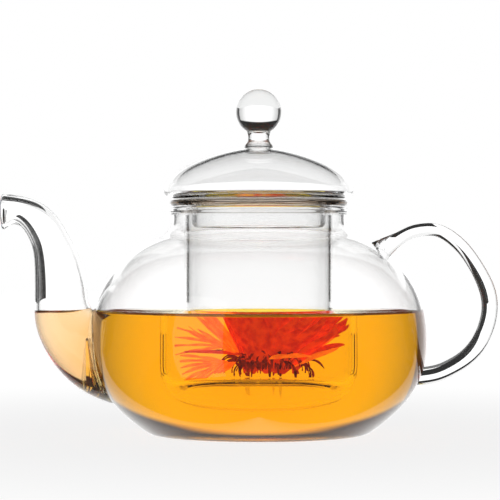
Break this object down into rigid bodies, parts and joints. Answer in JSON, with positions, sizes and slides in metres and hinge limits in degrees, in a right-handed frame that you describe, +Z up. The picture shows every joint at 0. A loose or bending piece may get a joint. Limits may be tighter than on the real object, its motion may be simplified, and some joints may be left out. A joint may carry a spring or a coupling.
{
  "type": "glass teapot",
  "caption": "Small round glass teapot with a curved spout, a looped rod handle, a lift-out slotted infuser and a domed lid with a ball knob.",
  "frame": {"origin": "centre of the flat foot that the pot stands on, on the pot's own axis", "axes": "+Z up along the pot's axis, +X from the axis towards the handle, -X towards the spout"},
  "size_m": [0.1872, 0.127, 0.1306],
  "materials": {
    "bulb_glass": "clear blown glass, fire-polished",
    "tube_glass": "clear drawn tube, bent hot",
    "rod_glass": "clear solid rod, bent hot",
    "infuser_glass": "clear tube with cut slits",
    "flange_glass": "clear ring that looks brown seen edge-on",
    "lid_glass": "clear blown glass, fire-polished"
  },
  "bodies": {
    "pot": {"pot_body": "bulb_glass", "spout_tube": "tube_glass", "handle_rod": "rod_glass"},
    "infuser": {"infuser_cup": "infuser_glass", "infuser_flange": "flange_glass"},
    "lid": {"lid_dome": "lid_glass", "lid_skirt": "lid_glass", "lid_knob": "lid_glass"}
  },
  "joints": [
    {"name": "infuser_lift", "type": "slide", "parent": "pot", "child": "infuser", "axis": [0, 0, 1], "range_m": [0, 0.085]},
    {"name": "lid_lift", "type": "slide", "parent": "infuser", "child": "lid", "axis": [0, 0, 1], "range_m": [0, 0.04]}
  ]
}
